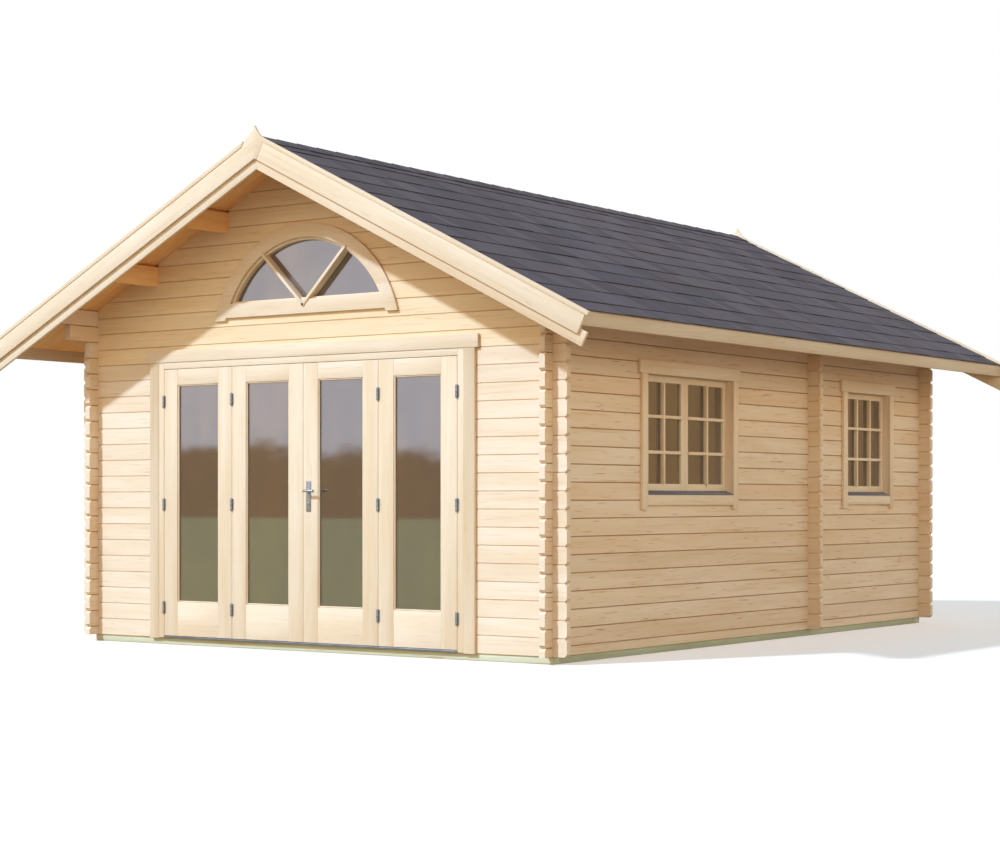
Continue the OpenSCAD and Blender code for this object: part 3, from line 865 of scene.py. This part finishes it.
SIDES = ((-1, "left"), (1, "right"))
ROOF_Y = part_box("roof_boards_right")[1].y
BOARDS = 67
BOARD_END = EAVE_X - 0.018          # the boards stop behind the fascia
board_w = 2 * ROOF_Y / BOARDS
board = timber((0, 0.0002, 0), (1, board_w - 0.0002, BOARD))
move_part(board, lambda c: c.x < 0.5 and c.z > 0.01, (down(0, BOARD), 0, 0))
move_part(board, lambda c: c.x > 0.5 and c.z < 0.01, (down(BOARD_END, 0) - 1, 0, 0))
move_part(board, lambda c: c.x > 0.5 and c.z > 0.01, (down(BOARD_END, BOARD) - 1, 0, 0))
ease(board, 0.0028, 1)
for side, word in SIDES:
    deck = join([moved(board, 0, -ROOF_Y + k * board_w, 0) for k in range(BOARDS)])
    finished(laid_on_slope(deck, side), f"roof_deck_{word}", [soffit_pine],
             [f"roof_boards_{word}"])
discard(board)

# ---- Floor boards
floor_low, floor_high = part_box("floor_boards")
FLOOR_BOARDS = 45
FLOOR_JOINT = 0.0004
floor_w = (floor_high.x - floor_low.x) / FLOOR_BOARDS
laid = []
for y0, y1 in ((-WALL_Y + LOG, PARTITION_Y[0]), (PARTITION_Y[1], WALL_Y - LOG)):
    board = timber((floor_low.x, y0, floor_low.z),
                   (floor_low.x + floor_w - FLOOR_JOINT, y1, floor_high.z))
    ease(board, 0.0015, 1)
    laid += [board] + [moved(board, k * floor_w, 0, 0) for k in range(1, FLOOR_BOARDS)]
finished(join(laid), "floor_planks", [floor_pine], ["floor_boards"])

# ---- Shingles: courses of wedge-shaped tabs, each lying on the one below
SHOWN = 0.2415                      # how much of a course shows
FIRST_LINE = 0.215                  # foot of the top course, down the slope
EAVE_S = down(EAVE_X + 0.012, BOARD)
HEAD_LAP = 0.045                    # how far a tab runs up under the course above it
TAB_WIDTHS = (0.11, 0.16, 0.21, 0.26, 0.33)
LEAST_TAB = 0.02
TAB_SLIT = 0.0006                   # half of the gap between two tabs
TAB_FOOT, TAB_HEAD = 0.006, 0.0008  # thickness at the two ends of a tab
RNG = random.Random(43)


def tinted(part, tone, hue):
    """Gives a shingle its own tone and hue, which its finish reads."""
    for label, value in (("tab_tone", tone), ("tab_hue", hue)):
        layer = part.data.attributes.new(label, "FLOAT", "POINT")
        layer.data.foreach_set("value", [value] * len(part.data.vertices))
    return part


def shingle_slope(tab, side, word):
    """All tabs of one slope, from a tab that is 1 long down the slope and 1 wide."""
    laid = []
    feet = [FIRST_LINE + k * SHOWN for k in range(12)]
    feet = [s for s in feet if s < EAVE_S - 0.05] + [EAVE_S]
    for row, foot in enumerate(feet):
        head = feet[row - 1] - HEAD_LAP if row else 0.0
        y = -ROOF_Y - RNG.uniform(0.0, 0.25)
        while y < ROOF_Y:
            width = RNG.choice(TAB_WIDTHS) * RNG.uniform(0.85, 1.15)
            y0, y1 = max(y, -ROOF_Y), min(y + width, ROOF_Y)
            thick = RNG.choice((0.85, 1.0, 1.3))
            drop = RNG.uniform(-0.0015, 0.0015) * (row < len(feet) - 1)
            tone, hue = RNG.random(), RNG.random()
            y += width
            if y1 - y0 < LEAST_TAB:
                continue
            size = (foot + drop - head, y1 - y0 - 2 * TAB_SLIT, thick, 1)
            place = Matrix.Translation((head, y0 + TAB_SLIT, BOARD + 0.0002))
            laid.append(tinted(copy_of(tab, place @ Matrix.Diagonal(size)), tone, hue))
    finished(laid_on_slope(join(laid), side), f"shingle_courses_{word}",
             [shingle], [f"shingles_{word}"])


tab = timber((0, 0, 0), (1, 1, TAB_FOOT))
move_part(tab, lambda c: c.x < 0.5 and c.z > TAB_FOOT / 2, (0, 0, TAB_HEAD - TAB_FOOT))
for side, word in SIDES:
    shingle_slope(tab, side, word)
discard(tab)

# ---- Shingles folded over the ridge, each lapping the next
RIDGE_SHOWN, CAP_LENGTH, CAP_HALF = 0.205, 0.27, 0.128
CAP_THICK, CAP_LIFT, CAP_TILT = 0.0045, 0.0085, -0.017
FOLD_DIP = 0.0008                   # the fold is pressed down a little
LEAST_CAP = 0.05
drop_selection()
bpy.ops.mesh.primitive_grid_add(x_subdivisions=4, y_subdivisions=1, size=1,
                                location=(0, CAP_LENGTH / 2, 0))
cap = bpy.context.object
cap.scale = (2 * CAP_HALF * CA, CAP_LENGTH, 1)
settle(cap)
for vertex in cap.data.vertices:
    on_fold = abs(vertex.co.x) < 0.01
    vertex.co.z = -abs(vertex.co.x) * PITCH - FOLD_DIP * on_fold
take(cap)
skin = cap.modifiers.new("thickness", "SOLIDIFY")
skin.thickness, skin.offset = CAP_THICK, 1.0
bpy.ops.object.modifier_apply(modifier=skin.name)
cap_z = RIDGE + BOARD / CA + CAP_LIFT
laid = []
for k in range(int(2 * ROOF_Y / RIDGE_SHOWN) + 1):
    y0 = -ROOF_Y + k * RIDGE_SHOWN
    length = min(CAP_LENGTH, ROOF_Y - y0)
    if length >= LEAST_CAP:
        place = Matrix.Translation((0, y0, cap_z)) @ Matrix.Rotation(CAP_TILT, 4, "X")
        part = copy_of(cap, place @ Matrix.Diagonal((1, length / CAP_LENGTH, 1, 1)))
        laid.append(tinted(part, RNG.random(), RNG.random()))
discard(cap)
finished(join(laid), "ridge_caps", [shingle], ["ridge_shingles"])

# ---- Floor and light of the studio
FLOOR_BOUNCE, FLOOR_MIRRORED = (0.34, 0.26, 0.18, 1), (0.62, 0.44, 0.17, 1)
LIGHT_ABOVE, LIGHT_AROUND = (0.10, 0.36, 0.74, 1), (1.76, 1.55, 1.22, 1)
SCREEN, CEILING = (0.48, 0.30, 0.13, 1), (1.05, 1.00, 1.02, 1)      # what the panes mirror
BACKDROP = (1, 1, 1, 1)
SUN_LIGHT = (2.24, 3.1, 4.5)
SUN_WAY = (0.216, 0.472, -0.419)

drop_selection()
bpy.ops.mesh.primitive_plane_add(size=160, location=(0, 0, -0.0005))
ground = bpy.context.object
ground.name = "studio_floor"
f = Finish("studio_floor_paint", Roughness=0.95, Specular_IOR_Level=0.0,
           Emission_Color=(1, 1, 1, 1), Emission_Strength=0.37)
x, y, z = f.coordinates("Object")
f.done(f.mix(f.noise(x * 0.4, y * 0.4, 0.0) * 0.5, (0.72, 0.60, 0.46, 1), (0.70, 0.59, 0.45, 1)))
rays = f.add("ShaderNodeLightPath", {}, {}).outputs
bounce = f.add("ShaderNodeBsdfDiffuse", {},
               {"Color": f.mix(rays["Is Glossy Ray"], FLOOR_BOUNCE, FLOOR_MIRRORED)})
both = f.add("ShaderNodeMixShader", {}, {0: rays["Is Camera Ray"], 1: bounce.outputs[0],
                                         2: f.shader.outputs[0]})
f.feed(f.output.inputs["Surface"], both.outputs[0])
ground.data.materials.append(f.material)

world = bpy.data.worlds.new("studio")
bpy.context.scene.world = world
world.use_nodes = True
world.node_tree.nodes.clear()
studio = Nodes(world.node_tree)
across, back, up = studio.coordinates("Generated")
rays = studio.add("ShaderNodeLightPath", {}, {}).outputs
soft = studio.mix(up.step(0.25, 0.75), LIGHT_AROUND, LIGHT_ABOVE)
# The screen's upper edge is uneven and a little higher towards the back.
ragged = studio.noise(across * 42.0, back * 42.0, up * 60.0, 4.0, 0.6) * 0.030
mirrored = studio.mix((up - back * 0.024 + ragged).step(0.052, 0.062), SCREEN, CEILING)
shown = studio.mix(rays["Is Glossy Ray"], soft, mirrored)
shown = studio.mix(rays["Is Camera Ray"], shown, BACKDROP)
light = studio.add("ShaderNodeBackground", {}, {0: shown})
studio.add("ShaderNodeOutputWorld", {}, {0: light.outputs[0]})

sun = bpy.data.lights.new("key_light", "SUN")
sun.energy, sun.angle = max(SUN_LIGHT), math.radians(2.5)
sun.color = [part / max(SUN_LIGHT) for part in SUN_LIGHT]
sun_holder = bpy.data.objects.new("key_light", sun)
sun_holder.rotation_mode = "QUATERNION"
sun_holder.rotation_quaternion = Vector(SUN_WAY).to_track_quat("-Z", "Y")
bpy.context.scene.collection.objects.link(sun_holder)

# ---- Camera
camera = bpy.data.cameras.new("camera")
camera.sensor_width, camera.lens = 36.0, 76.553
camera.shift_y = 0.0703
camera.clip_end = 300
holder = bpy.data.objects.new("camera", camera)
holder.location = (9.290, -13.682, 1.0233)
holder.rotation_euler = (math.radians(90), 0, math.radians(35.119))
bpy.context.scene.collection.objects.link(holder)
bpy.context.scene.camera = holder
bpy.context.scene.view_settings.view_transform = "Standard"
